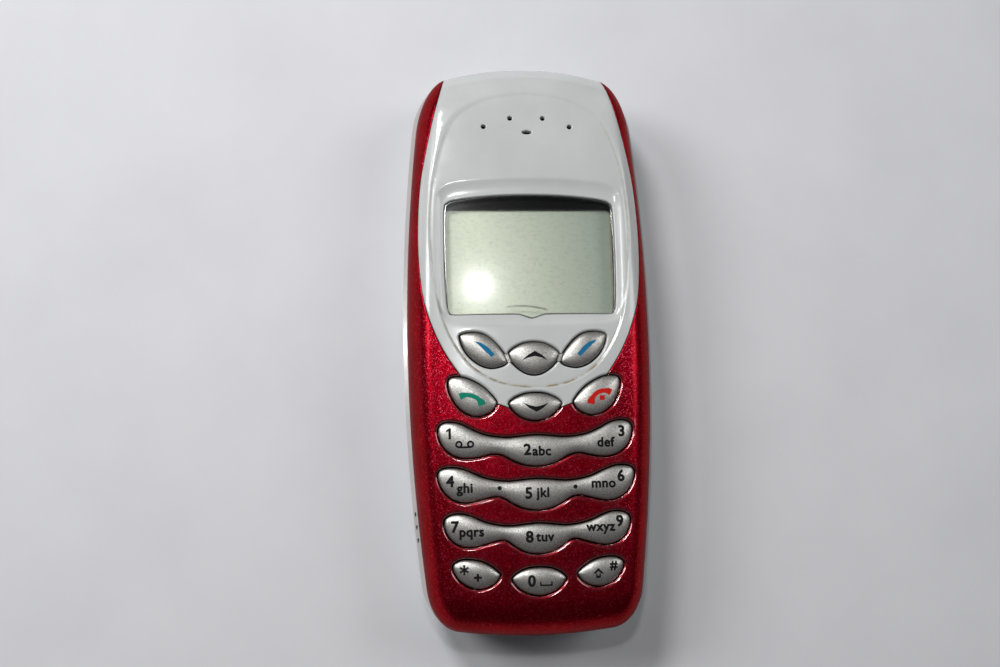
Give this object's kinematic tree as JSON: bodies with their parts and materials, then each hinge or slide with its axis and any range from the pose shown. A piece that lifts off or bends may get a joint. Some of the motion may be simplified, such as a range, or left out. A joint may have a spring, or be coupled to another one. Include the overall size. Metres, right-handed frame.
{
  "type": "early mobile phone",
  "caption": "Candy-bar mobile phone with a red flake front, pale face plate, small display, wavy rows of silver keys and a removable back.",
  "frame": {"origin": "middle of the flat back that the phone rests on, under the middle of its outline", "axes": "+Y towards the earpiece end, +Z out of the display face, X across the phone"},
  "size_m": [0.05, 0.115, 0.0228],
  "materials": {
    "red_paint": "crimson metallic-flake lacquer on a plastic shell",
    "pale_plastic": "glossy light grey",
    "silver_key": "satin silver paint, worn at the edges",
    "clear_window": "clear, finely scratched",
    "lcd_green": "grey-green liquid crystal cell",
    "black_plastic": "black",
    "grey_rubber": "dark grey",
    "circuit_green": "green laminate",
    "steel": "bright",
    "brass": "bright"
  },
  "bodies": {
    "phone": {"antenna": "brass", "antenna_carrier": "black_plastic", "battery": "black_plastic", "battery_connector": "black_plastic", "bottom_connector": "black_plastic", "buzzer": "black_plastic", "charger_pin": "brass", "chassis": "black_plastic", "circuit_board": "circuit_green", "display_frame": "black_plastic", "display_window": "clear_window", "dome_sheet": "steel", "earpiece": "steel", "earpiece_gasket": "grey_rubber", "face_plate": "pale_plastic", "front_cover": "red_paint", "headset_contact_l": "brass", "headset_contact_r": "brass", "keypad_web": "grey_rubber", "lcd_connector": "grey_rubber", "lcd_glass": "lcd_green", "light_guide": "clear_window", "microphone": "steel", "power_switch": "black_plastic", "screw_1": "steel", "screw_2": "steel", "screw_3": "steel", "screw_4": "steel", "screw_5": "steel", "screw_6": "steel", "shield_can_logic": "steel", "shield_can_radio": "steel", "sim_card": "pale_plastic", "sim_holder": "steel", "sim_reader": "black_plastic", "vibration_motor": "steel"},
    "rear_cover": {"rear_cover": "pale_plastic"},
    "release_button": {"release_button": "grey_rubber"},
    "vibration_weight": {"vibration_weight": "brass"},
    "power_key": {"power_key": "grey_rubber"},
    "key_0": {"key_0": "silver_key"},
    "key_1": {"key_1": "silver_key"},
    "key_2": {"key_2": "silver_key"},
    "key_3": {"key_3": "silver_key"},
    "key_4": {"key_4": "silver_key"},
    "key_5": {"key_5": "silver_key"},
    "key_6": {"key_6": "silver_key"},
    "key_7": {"key_7": "silver_key"},
    "key_8": {"key_8": "silver_key"},
    "key_9": {"key_9": "silver_key"},
    "key_call": {"key_call": "silver_key"},
    "key_down": {"key_down": "silver_key"},
    "key_end": {"key_end": "silver_key"},
    "key_hash": {"key_hash": "silver_key"},
    "key_soft_left": {"key_soft_left": "silver_key"},
    "key_soft_right": {"key_soft_right": "silver_key"},
    "key_star": {"key_star": "silver_key"},
    "key_up": {"key_up": "silver_key"}
  },
  "joints": [
    {"name": "key_0_press", "type": "slide", "parent": "phone", "child": "key_0", "axis": [0, 0, -1], "range_m": [0, 0.0005], "stiffness_N_per_m": 300, "springref_m": -0.001},
    {"name": "key_1_press", "type": "slide", "parent": "key_2", "child": "key_1", "axis": [0, 0, -1], "range_m": [0, 0.00045], "stiffness_N_per_m": 300, "springref_m": -0.001},
    {"name": "key_2_press", "type": "slide", "parent": "phone", "child": "key_2", "axis": [0, 0, -1], "range_m": [0, 0.00045], "stiffness_N_per_m": 300, "springref_m": -0.001},
    {"name": "key_3_press", "type": "slide", "parent": "key_2", "child": "key_3", "axis": [0, 0, -1], "range_m": [0, 0.00045], "stiffness_N_per_m": 300, "springref_m": -0.001},
    {"name": "key_4_press", "type": "slide", "parent": "key_5", "child": "key_4", "axis": [0, 0, -1], "range_m": [0, 0.00045], "stiffness_N_per_m": 300, "springref_m": -0.001},
    {"name": "key_5_press", "type": "slide", "parent": "phone", "child": "key_5", "axis": [0, 0, -1], "range_m": [0, 0.00045], "stiffness_N_per_m": 300, "springref_m": -0.001},
    {"name": "key_6_press", "type": "slide", "parent": "key_5", "child": "key_6", "axis": [0, 0, -1], "range_m": [0, 0.00045], "stiffness_N_per_m": 300, "springref_m": -0.001},
    {"name": "key_7_press", "type": "slide", "parent": "key_8", "child": "key_7", "axis": [0, 0, -1], "range_m": [0, 0.00045], "stiffness_N_per_m": 300, "springref_m": -0.001},
    {"name": "key_8_press", "type": "slide", "parent": "phone", "child": "key_8", "axis": [0, 0, -1], "range_m": [0, 0.00045], "stiffness_N_per_m": 300, "springref_m": -0.001},
    {"name": "key_9_press", "type": "slide", "parent": "key_8", "child": "key_9", "axis": [0, 0, -1], "range_m": [0, 0.00045], "stiffness_N_per_m": 300, "springref_m": -0.001},
    {"name": "key_call_press", "type": "slide", "parent": "phone", "child": "key_call", "axis": [0, 0, -1], "range_m": [0, 0.0005], "stiffness_N_per_m": 300, "springref_m": -0.001},
    {"name": "key_down_press", "type": "slide", "parent": "phone", "child": "key_down", "axis": [0, 0, -1], "range_m": [0, 0.0005], "stiffness_N_per_m": 300, "springref_m": -0.001},
    {"name": "key_end_press", "type": "slide", "parent": "phone", "child": "key_end", "axis": [0, 0, -1], "range_m": [0, 0.0005], "stiffness_N_per_m": 300, "springref_m": -0.001},
    {"name": "key_hash_press", "type": "slide", "parent": "phone", "child": "key_hash", "axis": [0, 0, -1], "range_m": [0, 0.0005], "stiffness_N_per_m": 300, "springref_m": -0.001},
    {"name": "key_soft_left_press", "type": "slide", "parent": "phone", "child": "key_soft_left", "axis": [0, 0, -1], "range_m": [0, 0.0005], "stiffness_N_per_m": 300, "springref_m": -0.001},
    {"name": "key_soft_right_press", "type": "slide", "parent": "phone", "child": "key_soft_right", "axis": [0, 0, -1], "range_m": [0, 0.0005], "stiffness_N_per_m": 300, "springref_m": -0.001},
    {"name": "key_star_press", "type": "slide", "parent": "phone", "child": "key_star", "axis": [0, 0, -1], "range_m": [0, 0.0005], "stiffness_N_per_m": 300, "springref_m": -0.001},
    {"name": "key_up_press", "type": "slide", "parent": "phone", "child": "key_up", "axis": [0, 0, -1], "range_m": [0, 0.0005], "stiffness_N_per_m": 300, "springref_m": -0.001},
    {"name": "power_key_press", "type": "slide", "parent": "phone", "child": "power_key", "axis": [0, -1, 0], "range_m": [0, 0.0004], "stiffness_N_per_m": 300, "springref_m": -0.001},
    {"name": "rear_cover_slide", "type": "slide", "parent": "phone", "child": "rear_cover", "axis": [0, -1, 0], "range_m": [0, 0.002]},
    {"name": "release_button_press", "type": "slide", "parent": "rear_cover", "child": "release_button", "axis": [0, 0, 1], "range_m": [0, 0.0006], "stiffness_N_per_m": 300, "springref_m": -0.001},
    {"name": "vibration_weight_spin", "type": "hinge", "parent": "phone", "child": "vibration_weight", "pos_m": [0, 0.0226, 0.005], "axis": [1, 0, 0], "continuous": true}
  ]
}
